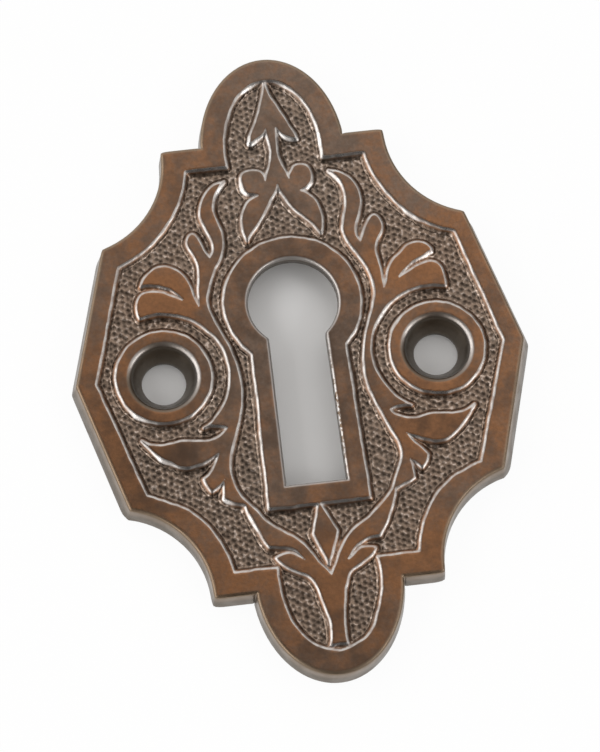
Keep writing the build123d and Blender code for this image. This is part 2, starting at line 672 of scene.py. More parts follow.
@dataclass
class EscutcheonPlate:
    """The casting: a relief front on a fine lattice, walls carried round its borders, and a flat back.

    pitch is the width of the lattice, and reach how far from an edge its distance is kept. wobble is how far
    the ripple moves an edge. border_lines are the distances in from a border that lattice points move onto.
    The passes even out the walls' normals and the way to the back outline. keyhole_neck is the height of the
    point that the keyhole's wall is mapped around. back_pitch spaces the back's own points, and back_below is
    how far below the walls' feet these count as lying for the finish.
    """

    pitch: float = 0.112
    reach: float = 1.6
    section: ReliefSection = field(default_factory=ReliefSection)
    stipple: Stipple = field(default_factory=Stipple)
    walls: WallSection = field(default_factory=WallSection)
    ripple: Ripple = field(default_factory=Ripple)
    wobble: float = 0.03
    flat_map: FlatMap = field(default_factory=FlatMap)
    border_lines: tuple[float, ...] = (0.0, 0.13, 0.26)
    normal_passes: int = 18
    way_passes: int = 6
    keyhole_neck: float = 1.96
    back_pitch: float = 1.3
    back_below: float = 0.2
    # Arcs of painted highlight on the screw holes' mouths.
    highlight_arcs: tuple[HighlightArc, ...] = (HighlightArc(12.0, 58.0), HighlightArc(140.0, 24.0))
    spots_of_patina: tuple[PatinaSpot, ...] = (
        PatinaSpot(-9.8, 6.3, 2.6, 2.6, 0.9),
        PatinaSpot(9.6, 7.0, 3.0, 2.6, 1.0),
        PatinaSpot(9.6, -6.6, 3.2, 1.6, 0.7),
        PatinaSpot(10.8, -3.0, 3.0, 2.0, 0.6),
        PatinaSpot(-10.8, -3.5, 3.0, 2.0, 0.4),
        PatinaSpot(-13.8, -7.5, 3.2, 6.0, 0.8),
        PatinaSpot(-8.5, -16.5, 4.0, 2.5, 0.5),
        PatinaSpot(0.0, -18.0, 4.5, 5.0, 0.5),
        PatinaSpot(9.0, -16.8, 4.0, 2.5, 0.5),
        PatinaSpot(0.0, 20.0, 7.0, 6.0, -0.45),
        PatinaSpot(0.0, 0.0, 5.5, 11.0, -0.55),
        PatinaSpot(10.5, 17.0, 4.0, 5.0, -0.3),
        PatinaSpot(15.0, 6.0, 2.5, 5.0, 0.3),
        PatinaSpot(0.0, -24.0, 7.0, 3.0, -0.3),
    )
    # Places where the flats are darker, and lighter where the strength is below 0: darker on the left, the
    # middle, the bottom and the lower right leaf, lighter at the top, the upper right rim and the lobed
    # leaves.
    spots_of_shade: tuple[PatinaSpot, ...] = (
        PatinaSpot(-14.0, -7.5, 3.5, 6.0, 0.36),
        PatinaSpot(-10.0, -6.6, 3.0, 1.6, 0.3),
        PatinaSpot(-10.8, -0.3, 4.5, 4.5, 0.22),
        PatinaSpot(0.0, 0.0, 5.5, 13.0, 0.32),
        PatinaSpot(0.0, -23.0, 6.0, 3.5, 0.28),
        PatinaSpot(9.6, -6.6, 3.2, 1.6, 0.24),
        PatinaSpot(11.0, 15.0, 4.0, 5.0, -0.45),
        PatinaSpot(0.0, 24.0, 6.0, 2.5, -0.2),
        PatinaSpot(9.6, 7.0, 3.0, 2.6, -0.25),
        PatinaSpot(-9.8, 6.3, 2.6, 2.6, -0.15),
    )
    # Worn places that also hold painted glints: there the slopes are near white and their pale band reaches
    # further down.
    spots_of_wear_and_glint: tuple[PatinaSpot, ...] = (
        PatinaSpot(-1.5, 23.1, 0.7, 0.6, 0.7),
        PatinaSpot(1.8, 23.1, 0.7, 0.6, 0.6),
        PatinaSpot(3.7, 18.0, 0.6, 1.4, 0.7),
        PatinaSpot(-1.6, 18.4, 0.6, 0.5, 1.0),
        PatinaSpot(1.5, 18.5, 0.8, 0.5, 1.0),
        PatinaSpot(-2.9, 14.4, 0.5, 0.7, 1.0),
        PatinaSpot(2.5, 14.3, 0.6, 0.5, 0.8),
        PatinaSpot(-4.6, 14.7, 0.6, 0.8, 0.9),
        PatinaSpot(4.4, 14.7, 0.6, 0.9, 0.9),
        PatinaSpot(10.9, 7.6, 0.9, 0.5, 1.0),
        PatinaSpot(10.1, 10.7, 1.2, 0.8, 0.8),
        PatinaSpot(7.2, 2.6, 0.9, 0.8, 0.6),
        PatinaSpot(2.4, -4.6, 0.8, 4.6, 1.0),
        PatinaSpot(-13.2, -3.2, 1.0, 0.7, 1.0),
        PatinaSpot(-11.5, -7.0, 0.8, 0.6, 1.0),
        PatinaSpot(-7.0, -10.9, 0.5, 0.4, 1.0),
        PatinaSpot(-5.2, -12.4, 0.5, 0.8, 0.8),
    )
    strays: tuple[HandShift, ...] = (
        # Spear, curls and hanging leaves
        HandShift(-1.2, 20.3, 0.8, 1.5, 0.2),
        HandShift(-2.0, 18.4, 0.5, 0.5, 0.2),
        HandShift(-0.45, 17.3, 0.4, 1.3, 0.24),
        HandShift(0.5, 17.0, 0.4, 1.2, -0.14),
        HandShift(-1.9, 16.4, 0.8, 0.5, 0.0, -0.28),
        HandShift(-2.95, 15.0, 0.4, 0.7, 0.12),
        HandShift(1.9, 16.4, 0.8, 0.5, 0.0, -0.14),
        HandShift(1.1, 15.8, 0.3, 0.5, 0.2),
        HandShift(2.95, 15.1, 0.6, 0.9, -0.18),
        HandShift(2.5, 14.2, 0.6, 0.5, -0.1, 0.12),
        HandShift(-0.45, 13.5, 0.45, 0.8, -0.38),
        HandShift(-0.95, 12.5, 0.5, 0.6, -0.22),
        HandShift(0.45, 13.6, 0.4, 0.6, 0.12),
        # Inner edges of the scrolled frame
        HandShift(-4.9, 12.8, 0.8, 1.4, -0.22),
        HandShift(-4.5, 10.2, 0.8, 1.6, -0.24),
        HandShift(-5.6, 8.0, 0.8, 1.3, -0.2),
        HandShift(-6.4, 5.6, 0.9, 1.6, -0.18),
        HandShift(5.0, 12.0, 0.8, 2.0, 0.15),
        HandShift(5.6, -4.6, 0.8, 1.8, 0.2),
        HandShift(6.6, -8.3, 0.9, 2.2, 0.34),
        HandShift(5.4, -11.4, 0.9, 1.0, 0.28),
        # Buds and lobed leaves
        HandShift(-6.3, 9.9, 0.45, 0.8, -0.22),
        HandShift(-7.7, 9.9, 0.5, 0.8, 0.15),
        HandShift(8.7, 8.2, 1.1, 1.3, 0.25, -0.42),
        HandShift(9.9, 8.8, 0.8, 0.8, 0.0, -0.15),
        HandShift(11.75, 7.35, 0.7, 0.4, -0.35, 0.35),
        HandShift(12.28, 5.65, 0.5, 0.8, -0.15),
        # Side leaves, barbs and fan leaves
        HandShift(-10.8, -7.4, 1.3, 0.5, 0.0, 0.26),
        HandShift(-8.2, -8.6, 1.2, 1.3, 0.3),
        HandShift(-7.4, -10.3, 0.7, 0.8, 0.3),
        HandShift(-5.3, -13.0, 0.8, 1.6, 0.3),
        HandShift(8.2, -8.3, 0.8, 0.9, 0.2),
        HandShift(7.9, -9.6, 0.5, 0.35, 0.0, 0.3),
        HandShift(-2.8, -15.6, 1.0, 0.35, 0.0, 0.22),
        HandShift(1.9, -16.1, 0.7, 0.5, -0.1, -0.4),
        # Lozenge, fork and stem below it
        HandShift(-0.4, -12.0, 0.3, 0.6, 0.3),
        HandShift(0.4, -12.0, 0.3, 0.6, -0.3),
        HandShift(-0.98, -14.2, 0.5, 0.8, 0.2),
        HandShift(0.98, -14.2, 0.5, 0.8, 0.15, 0.05),
        HandShift(0.0, -17.0, 0.3, 0.35, 0.1, 0.32),
        HandShift(0.5, -16.9, 0.35, 0.7, 0.25),
        HandShift(0.1, -17.7, 0.3, 0.3, 0.2),
        HandShift(1.2, -18.3, 0.6, 1.0, 0.22),
        HandShift(0.0, -21.3, 1.6, 2.6, 0.2),
        # Inner edge of the rim
        HandShift(-12.4, -9.8, 2.2, 2.2, 0.1, -0.55),
        HandShift(-13.6, -9.2, 0.7, 0.7, 0.3, -0.25),
        HandShift(12.4, -9.8, 2.2, 2.2, -0.1, -0.55),
        HandShift(13.6, -9.2, 0.7, 0.7, -0.55, -0.5),
        HandShift(3.9, -18.6, 1.2, 2.2, 0.22),
        HandShift(2.6, -22.2, 1.2, 1.2, 0.2, -0.15),
        HandShift(13.5, 8.7, 0.8, 0.8, 0.2),
    )
    wall_strays: tuple[HandShift, ...] = (
        HandShift(-17.0, -5.5, 3.0, 5.0, 0.45),
        HandShift(-16.0, 6.5, 3.0, 5.0, 0.38),
    )

    def __post_init__(self) -> None:
        """Reads the outlines that the casting follows from the CAD model."""
        self.cad = CadOutlines(frame["nodes"][CAST_NODE])
        mounts = {mount["name"]: mount for mount in frame["record"]["mounts"]}
        screws = mounts["screw_holes"]
        half = screws["dims"]["spacing_x_mm"] / 2
        side_y = screws["pos_m"][1] / MM
        opening = frame["record"]["physics"]["openings"][1]["box_m"]
        eye_y = (opening[0][1] + opening[1][1]) / 2 / MM
        self.spots = {
            Border.KEYHOLE: [(0.0, eye_y)],
            Border.SCREW: [(half, side_y), (-half, side_y)],
        }
        front = self.cad.border(self.cad.front_z)
        self.front_kinds = self.cad.loops_by_border(front, self.spots)
        self.metal = front.only(np.isin(front.loop, list(self.front_kinds)))
        self.ground = self.cad.border(self.cad.ground_z).moved(self.strays)
        back = self.cad.border(self.cad.back_z)
        back_kinds = self.cad.loops_by_border(back, self.spots)
        outside = [loop for loop, kind in back_kinds.items() if kind is Border.OUTSIDE]
        self.back_outside = back.only(np.isin(back.loop, outside)).moved(self.wall_strays)

    def front(self) -> tuple[Sheet, np.ndarray]:
        """The relief front.

        Height is a function of the two lattice directions: the relief section at the distance from the
        nearest raised edge, less the stipple's pits on the ground and the rounding at the front's borders.
        Lattice points near an edge of the section or of the front move onto it, and each square is split
        so that no triangle lies across it.

        Returns:
            The sheet, and the directed edges of its border.
        """
        low = self.metal.starts.min(0) - 2 * self.pitch
        high = self.metal.starts.max(0) + 2 * self.pitch
        xs = np.arange(low[0], high[0], self.pitch)
        ys = np.arange(low[1], high[1], self.pitch)
        grid = np.stack(np.meshgrid(xs, ys), axis=-1)
        border = signed_distances(xs, ys, self.metal, self.reach)
        relief = signed_distances(xs, ys, self.ground, self.reach)
        relief.value += self.wobble * self.ripple.at(grid[..., 0], grid[..., 1])
        border_label = snap_labels(border.value, self.border_lines)
        relief_label = snap_labels(relief.value, self.section.distances)
        for found, label, levels in (
            (border, border_label, self.border_lines),
            (relief, relief_label, self.section.distances),
        ):
            moved = label >= 0
            target = np.array(levels)[label[moved]]
            grid[moved] += (target - found.value[moved])[:, None] * found.uphill[moved]
            found.value[moved] = target
        height = self.cad.front_z - self.section.depth(relief.value)
        pits = 1.0 - self.stipple.height(grid[..., 0], grid[..., 1])
        on_ground = smooth_step(self.section.distances[-1], self.section.foot, relief.value)
        height -= self.stipple.depth * on_ground * pits
        hole = np.zeros(height.shape)
        for loop, kind in self.front_kinds.items():
            height -= (border.loop == loop) * self.walls.roundings[kind].depth(border.value)
            hole += (border.loop == loop) * HOLE_VALUES[kind]
        state = np.where(border_label == 0, 0, np.where(border.value > 0, 1, -1))
        triangles = self.split_squares(height, border_label, relief_label)
        kept = (state.reshape(-1)[triangles] >= 0).all(axis=1)
        triangles = triangles[kept]
        flat = grid.reshape(-1, 2)
        on_border = (state.reshape(-1)[triangles] == 0).all(axis=1)
        inside = points_inside(flat[triangles[on_border]].mean(axis=1), self.metal)
        drop = np.zeros(len(triangles), bool)
        drop[np.flatnonzero(on_border)[~inside]] = True
        triangles = triangles[~drop]
        used, number = np.unique(triangles, return_inverse=True)
        triangles = number.reshape(-1, 3)
        points = np.column_stack([flat[used], height.reshape(-1)[used]])
        sheet = Sheet(
            points,
            triangles,
            relief.value.reshape(-1)[used],
            border.value.reshape(-1)[used],
            hole.reshape(-1)[used],
        )
        return sheet, lone_edges(triangles)

    @staticmethod
    def split_squares(height: np.ndarray, *labels: np.ndarray) -> np.ndarray:
        """Two triangles for each lattice square.

        The split joins two corners that lie on the same edge line. Elsewhere it joins the two corners
        that are closer in height.

        Args:
            height: Height by row and column.
            labels: Edge line of each point, or -1, one array for each set of lines.

        Returns:
            Corner numbers, one triangle a row, counter-clockwise from the front.
        """
        number = np.arange(height.size).reshape(height.shape)
        a, b, c, d = np.s_[:-1, :-1], np.s_[:-1, 1:], np.s_[1:, 1:], np.s_[1:, :-1]
        rising = np.abs(height[a] - height[c]) <= np.abs(height[b] - height[d])
        for label in labels:
            on_rising = (label[a] >= 0) & (label[a] == label[c])
            on_falling = (label[b] >= 0) & (label[b] == label[d])
            rising = np.where(on_rising == on_falling, rising, on_rising)
        a, b, c, d = number[a], number[b], number[c], number[d]
        first = np.stack([a, b, np.where(rising, c, d)], axis=-1)
        second = np.stack([np.where(rising, a, b), c, d], axis=-1)
        return np.concatenate([first.reshape(-1, 3), second.reshape(-1, 3)])

    def border_kinds(self, points: np.ndarray) -> np.ndarray:
        """Which border each point of the front's edge belongs to: that of the closest CAD loop.

        Args:
            points: One point a row.

        Returns:
            The border's number for each point.
        """
        which = nearest_in_parts(points, self.metal)[1]
        kind_of_loop = np.zeros(self.metal.loop.max() + 1, int)
        kind_of_loop[list(self.front_kinds)] = list(self.front_kinds.values())
        return kind_of_loop[self.metal.loop[which]]

    def walls_down(self, sheet: Sheet, edges: np.ndarray) -> tuple[Sheet, np.ndarray, np.ndarray]:
        """Walls from the front's borders to the back: the wall section carried along each border.

        A ring is the border moved out along its normal by the section's step, at the section's height.
        The normals are evened out along the border, so the rings don't fold at its inner corners.

        Args:
            sheet: The front.
            edges: Directed edges of the front's border, each point the start of one of them.

        Returns:
            The walls' new points with triangles over front and new points together, the last ring's
            directed edges, and the kind of border of each edge's start.
        """
        starts = edges[:, 0]
        place = np.full(len(sheet.points), -1)
        place[starts] = np.arange(len(starts))
        following = place[edges[:, 1]]
        before = np.empty_like(following)
        before[following] = np.arange(len(starts))
        points = sheet.points[starts]
        run = points[following, :2] - points[:, :2]
        outward = np.stack([run[:, 1], -run[:, 0]], axis=1)
        normal = unit_rows(outward + outward[before])
        for _ in range(self.normal_passes):
            normal = unit_rows(normal + normal[following] + normal[before])
        kinds = self.border_kinds(points[:, :2])
        way = nearest_in_parts(points[:, :2], self.back_outside)[0]
        for _ in range(self.way_passes):
            way = (way + way[following] + way[before]) / 3
        count = len(starts)
        rings = self.walls.rings()
        places = np.zeros((rings, count, 3))
        for border in Border:
            mine = kinds == border
            steps, heights = self.walls.around(border, self.cad.front_z, way[mine])
            places[:, mine, :2] = points[mine, :2] + steps[..., None] * normal[mine]
            places[:, mine, 2] = heights[:, None]
        first = len(sheet.points)
        ring_numbers = np.concatenate([starts[None], first + np.arange(rings * count).reshape(rings, count)])
        here, there = ring_numbers[:-1], ring_numbers[1:]
        quads = np.stack([here[:, following], here, there, there[:, following]], axis=-1).reshape(-1, 4)
        triangles = np.concatenate([quads[:, [0, 1, 2]], quads[:, [0, 2, 3]]])
        down = self.cad.front_z - places[..., 2]
        hole_of_kind = np.array([HOLE_VALUES[border] for border in Border])
        new = Sheet(
            places.reshape(-1, 3),
            triangles,
            np.full(rings * count, -self.reach),
            -down.reshape(-1),
            np.tile(hole_of_kind[kinds], rings),
        )
        last = ring_numbers[-1]
        return new, np.column_stack([last, last[following]]), kinds

    def back(self, points: np.ndarray, edges: np.ndarray) -> Sheet:
        """The flat back, filled between the last rings of the walls with a few points of its own inside.

        Args:
            points: All points so far.
            edges: Directed edges of the last rings.

        Returns:
            The back's own points with triangles over all points.
        """
        rim = edges[:, 0]
        local = np.full(len(points), -1)
        local[rim] = np.arange(len(rim))
        rounded = points[:, :2].astype(np.float32).astype(float)
        outline = Outline(rounded[edges[:, 0]], rounded[edges[:, 1]], np.zeros(len(edges), int))
        low, high = outline.starts.min(0), outline.starts.max(0)
        xs = np.arange(low[0], high[0], self.back_pitch)
        ys = np.arange(low[1], high[1], self.back_pitch)
        inner = signed_distances(xs, ys, outline, self.reach).value > 0.5 * self.back_pitch
        own = np.stack(np.meshgrid(xs, ys), axis=-1)[inner]
        flat = np.concatenate([rounded[rim], own])
        closest = 1e-7
        corner_places = [Vector(place) for place in flat]
        made = delaunay_2d_cdt(corner_places, local[edges].tolist(), [], 0, closest, True)
        corners = np.array(made[2])
        origin = np.array([ids[0] for ids in made[3]])
        if len(made[0]) != len(flat):
            raise ValueError("the back's outlines cross each other")
        corners = origin[corners]
        inside = points_inside(flat[corners].mean(axis=1), outline)
        corners = corners[inside][:, ::-1]
        number = np.concatenate([rim, len(points) + np.arange(len(own))])
        return Sheet(
            np.column_stack([own, np.full(len(own), self.cad.back_z)]),
            number[corners],
            np.full(len(own), -self.reach),
            np.full(len(own), -(self.cad.front_z - self.cad.back_z) - self.back_below),
            np.zeros(len(own)),
        )

    def mouth_highlight(self, points: np.ndarray) -> np.ndarray:
        """How strong the painted highlight on a screw hole's mouth is at the angle of each point around the
        hole on its side.

        Args:
            points: All points.

        Returns:
            Strength of the painted highlight, from 0 to about 1.
        """
        right, left = np.array(self.spots[Border.SCREW])
        away = points[:, :2] - np.where(points[:, :1] > 0, right, left)
        angle = np.degrees(np.arctan2(away[:, 1], away[:, 0]))
        return sum(arc.at(angle) for arc in self.highlight_arcs)

    def map_places(self, points: np.ndarray, sheets: tuple[Sheet, ...], kinds: np.ndarray) -> np.ndarray:
        """Where each triangle's corners lie on the flat map.

        Args:
            points: All points.
            sheets: Front, walls and back.
            kinds: Kind of border of each point along the borders.

        Returns:
            Map places by triangle and corner.
        """
        low, high = points.min(0), points.max(0)
        front, walls, back = (points[sheet.triangles] for sheet in sheets)
        kind = np.tile(kinds, len(walls) // len(kinds))
        to_right = walls[:, 0, 0] > 0
        right, left = self.spots[Border.SCREW]
        screws = np.where(to_right[:, None], right, left)
        keyhole = np.array((self.spots[Border.KEYHOLE][0][0], self.keyhole_neck))
        centre = np.where(kind[:, None] == Border.SCREW, screws, 0.0)
        centre = np.where(kind[:, None] == Border.KEYHOLE, keyhole, centre)
        number = kind + (to_right & (kind == Border.SCREW))
        height = high[2] - low[2]
        return np.concatenate([
            self.flat_map.level(front, low, high, False),
            self.flat_map.strip(walls, centre, number, height),
            self.flat_map.level(back, low, high, True),
        ])

    def build(self) -> bpy.types.Object:
        """The whole casting as one closed mesh.

        Returns:
            The new object.
        """
        front, edges = self.front()
        walls, last_edges, kinds = self.walls_down(front, edges)
        points = np.concatenate([front.points, walls.points])
        back = self.back(points, last_edges)
        sheets = (front, walls, back)
        points = np.concatenate([sheet.points for sheet in sheets])
        triangles = np.concatenate([sheet.triangles for sheet in sheets])
        log.info("front %d, walls %d, back %d triangles", *[len(sheet.triangles) for sheet in sheets])
        loose = lone_edges(triangles)
        log.info("%d points, %d triangles, %d open edges", len(points), len(triangles), len(loose))
        mesh = bpy.data.meshes.new("escutcheon_casting")
        mesh.from_pydata((points * MM).tolist(), [], triangles.tolist())
        smooth = np.ones(len(triangles), bool)
        smooth[len(front.triangles) + len(walls.triangles):] = False
        mesh.polygons.foreach_set("use_smooth", smooth)
        values = {n: np.concatenate([getattr(s, n) for s in sheets]) for n in SHEET_VALUES}
        x, y = points[:, 0], points[:, 1]
        values["warmth"] = sum(spot.at(x, y) for spot in self.spots_of_patina)
        values["shade"] = sum(spot.at(x, y) for spot in self.spots_of_shade)
        # Worn places that also hold painted glints.
        values["wear_and_glint"] = sum(spot.at(x, y) for spot in self.spots_of_wear_and_glint)
        # Painted highlight arcs on the screw holes' mouths.
        values["mouth"] = self.mouth_highlight(points)
        values["stipple"] = self.stipple.height(x, y)
        for name, value in values.items():
            layer = mesh.attributes.new(name, "FLOAT", "POINT")
            layer.data.foreach_set("value", value.astype(np.float32))
        flat = mesh.uv_layers.new(name="OFBake")
        places = self.map_places(points, sheets, kinds)
        flat.data.foreach_set("uv", places.astype(np.float32).reshape(-1))
        mesh.update()
        casting = bpy.data.objects.new("escutcheon_casting", mesh)
        bpy.context.scene.collection.objects.link(casting)
        return casting


Colour = tuple[float, float, float]
Band = tuple[float, float]
Socket = bpy.types.NodeSocket


class NodeSheet:
    """Places shader nodes in one tree and wires them."""

    def __init__(self, tree: bpy.types.NodeTree) -> None:
        """Starts on a tree, which may hold nodes already."""
        self.tree = tree

    def node(self, kind: str, **settings: object) -> bpy.types.Node:
        """A new node with its settings.

        Args:
            kind: Type of the node.
            settings: Its properties by name.

        Returns:
            The node.
        """
        made = self.tree.nodes.new(kind)
        for name, setting in settings.items():
            setattr(made, name, setting)
        return made

    def feed(self, socket: Socket, source: object) -> None:
        """Wires an output to an input, or sets the input to a plain value.

        Args:
            socket: The input.
            source: An output, a number or a colour.
        """
        if isinstance(source, Socket):
            self.tree.links.new(source, socket)
        elif isinstance(source, tuple) and len(source) == 3 and socket.type == "RGBA":
            socket.default_value = (*source, 1.0)
        else:
            socket.default_value = source

    def feed_all(self, sockets: list[Socket], sources: tuple[object, ...]) -> None:
        """Feeds inputs in order.

        Args:
            sockets: The inputs.
            sources: What each of the first ones gets.
        """
        for socket, source in zip(sockets, sources):
            self.feed(socket, source)

    def math(self, operation: str, *inputs: object) -> Socket:
        """One sum of a Math node.

        Args:
            operation: Which sum.
            inputs: Its numbers or outputs.

        Returns:
            The result.
        """
        made = self.node("ShaderNodeMath", operation=operation)
        self.feed_all(made.inputs, inputs)
        return made.outputs[0]

    def weighted(self, *terms: tuple[object, float]) -> Socket:
        """Sum of values, each times its weight.

        Args:
            terms: Value and weight of each.

        Returns:
            The sum.
        """
        total, *others = [self.math("MULTIPLY", value, weight) for value, weight in terms]
        for other in others:
            total = self.math("ADD", total, other)
        return total

    def span(self, value: object, low: float, high: float, first: object = 0.0, last: object = 1.0) -> Socket:
        """Smooth step of a value.

        Args:
            value: What is looked at.
            low: Value of the first end, which may be the higher one.
            high: Value of the last end.
            first: Result at the first end and past it.
            last: Result at the last end and past it.

        Returns:
            The result.
        """
        made = self.node("ShaderNodeMapRange", interpolation_type="SMOOTHSTEP")
        self.feed_all(made.inputs, (value, low, high, first, last))
        return made.outputs[0]

    def blend(self, share: object, first: object, second: object) -> Socket:
        """Mix of two colours.

        Args:
            share: How much of the second, from 0 to 1.
            first: Colour at 0.
            second: Colour at 1.

        Returns:
            The colour.
        """
        made = self.node("ShaderNodeMix", data_type="RGBA")
        share_input, colour_inputs = made.inputs[:1], made.inputs[6:8]
        self.feed_all(share_input + colour_inputs, (share, first, second))
        return made.outputs[2]

    def mix(self, share: object, first: object, second: object) -> Socket:
        """Mix of two numbers.

        Args:
            share: How much of the second, from 0 to 1.
            first: Number at 0.
            second: Number at 1.

        Returns:
            The number.
        """
        made = self.node("ShaderNodeMix")
        share_input, number_inputs = made.inputs[:1], made.inputs[2:4]
        self.feed_all(share_input + number_inputs, (share, first, second))
        return made.outputs[0]

    def noise(self, place: object, scale: object, detail: float, rough: float) -> Socket:
        """Cloudy noise around 0.5.

        Args:
            place: Where, in millimetres.
            scale: Clouds per millimetre.
            detail: How many finer sizes are added.
            rough: How strong the finer sizes are.

        Returns:
            The noise.
        """
        made = self.node("ShaderNodeTexNoise")
        for name, source in (("Vector", place), ("Scale", scale), ("Detail", detail), ("Roughness", rough)):
            self.feed(made.inputs[name], source)
        return made.outputs[0]

    def attribute(self, name: str) -> Socket:
        """A value that the mesh holds at each point."""
        return self.node("ShaderNodeAttribute", attribute_name=name).outputs["Fac"]

    def group(self, tree: bpy.types.NodeTree, **inputs: object) -> bpy.types.Node:
        """A placed node group with its inputs.

        Args:
            tree: The group.
            inputs: Values or outputs by the inputs' names.

        Returns:
            The group's node.
        """
        made = self.node("ShaderNodeGroup", node_tree=tree)
        for name, source in inputs.items():
            self.feed(made.inputs[name], source)
        return made


@dataclass(frozen=True)
class Clouds:
    """Cloudy mask: noise with scale in clouds per millimetre, from first at low to last at high."""

    scale: float
    detail: float
    rough: float
    low: float
    high: float
    first: float = 0.0
    last: float = 1.0

    def mask(self, sheet: NodeSheet, place: object) -> Socket:
        """The mask at a place, as nodes on a sheet."""
        noise = sheet.noise(place, self.scale, self.detail, self.rough)
        return sheet.span(noise, self.low, self.high, self.first, self.last)


def new_group(
    name: str, inputs: dict[str, str], outputs: dict[str, str]
) -> tuple[NodeSheet, dict[str, Socket], dict[str, Socket]]:
    """An empty shader node group with named sockets.

    Args:
        name: Name of the group.
        inputs: Socket name to kind of socket.
        outputs: The same for what it puts out.

    Returns:
        The sheet of its nodes, its inputs as outputs to wire from, and its outputs as inputs to wire to.
    """
    tree = bpy.data.node_groups.new(name, "ShaderNodeTree")
    for side, sockets in (("INPUT", inputs), ("OUTPUT", outputs)):
        for label, kind in sockets.items():
            tree.interface.new_socket(label, in_out=side, socket_type=kind)
    sheet = NodeSheet(tree)
    given = sheet.node("NodeGroupInput")
    made = sheet.node("NodeGroupOutput")
    return sheet, {n: given.outputs[n] for n in inputs}, {n: made.inputs[n] for n in outputs}


NUMBER, COLOUR, VECTOR = "NodeSocketFloat", "NodeSocketColor", "NodeSocketVector"


def patina_clouds() -> bpy.types.NodeTree:
    """Group: patina in three tones, clouded over several millimetres and mottled over tenths of one.

    Returns:
        The group, which puts out the colour and the middle-sized clouds.
    """
    tones = {"Warm": COLOUR, "Dull": COLOUR, "Dark": COLOUR}
    inputs = {"Place": VECTOR, "Warmth": NUMBER, "Shade": NUMBER, **tones}
    sheet, given, made = new_group("patina_clouds", inputs, {"Colour": COLOUR, "Cloud": NUMBER})
    wide = Clouds(0.16, 2.0, 0.55, 0.36, 0.64).mask(sheet, given["Place"])
    patch = Clouds(0.6, 3.0, 0.55, 0.3, 0.7).mask(sheet, given["Place"])
    fleck = Clouds(1.9, 3.0, 0.6, 0.34, 0.66).mask(sheet, given["Place"])
    speck = Clouds(3.4, 2.0, 0.6, 0.34, 0.68).mask(sheet, given["Place"])
    warm_share = sheet.weighted((wide, 0.3), (patch, 0.25), (fleck, 0.3), (given["Warmth"], 0.8))
    tone = sheet.blend(sheet.span(warm_share, -0.2, 1.0), given["Dull"], given["Warm"])
    dark_share = sheet.math("MULTIPLY", sheet.math("SUBTRACT", 1.0, patch), 0.4)
    # The Shade input darkens the flats in given places, and lightens them where it is below 0.
    dark_share = sheet.math("ADD", dark_share, given["Shade"])
    tone = sheet.blend(sheet.span(dark_share, 0.0, 1.0), tone, given["Dark"])
    tone = sheet.blend(sheet.math("MULTIPLY", speck, 0.22), tone, given["Dark"])
    sheet.feed(made["Colour"], tone)
    sheet.feed(made["Cloud"], patch)
    return sheet.tree


def worn_slope_highlight() -> bpy.types.NodeTree:
    """Group: how far the slope of a raised form is worn to grey metal that also serves as a painted
    highlight, from its edge towards its foot.

    Where the clouds say so it is rubbed less, and where the casting is worn and painted glints lie it is
    rubbed further down.

    Returns:
        The group, which puts out the mask.
    """
    inputs = {"Place": VECTOR, "Distance": NUMBER, "Wear": NUMBER, "Breaks": NUMBER}
    sheet, given, made = new_group("worn_slope_highlight", inputs, {"Mask": NUMBER})
    below_edge = sheet.span(given["Distance"], -0.1, -0.02)
    # Worn places with painted glints push the pale band further down the slope.
    lower = sheet.math("SUBTRACT", given["Distance"], sheet.math("MULTIPLY", given["Wear"], 0.16))
    above_foot = sheet.span(lower, 0.06, 0.2, 1.0, 0.0)
    broken = Clouds(1.3, 2.0, 0.6, 0.36, 0.6, 1.0, 0.0).mask(sheet, given["Place"])
    kept = sheet.math("SUBTRACT", 1.0, sheet.math("MULTIPLY", given["Breaks"], broken))
    on_slope = sheet.math("MULTIPLY", below_edge, above_foot)
    sheet.feed(made["Mask"], sheet.math("MULTIPLY", on_slope, kept))
    return sheet.tree


def cast_grain() -> bpy.types.NodeTree:
    """Group: the fine skin that casting sand leaves, two sizes of noise together.

    Returns:
        The group, which puts out the height.
    """
    sheet, given, made = new_group("cast_grain", {"Place": VECTOR, "Scale": NUMBER}, {"Height": NUMBER})
    coarse = sheet.noise(given["Place"], given["Scale"], 3.0, 0.6)
    fine = sheet.noise(given["Place"], sheet.math("MULTIPLY", given["Scale"], 4.5), 2.0, 0.5)
    sheet.feed(made["Height"], sheet.math("ADD", coarse, sheet.math("MULTIPLY", fine, 0.4)))
    return sheet.tree


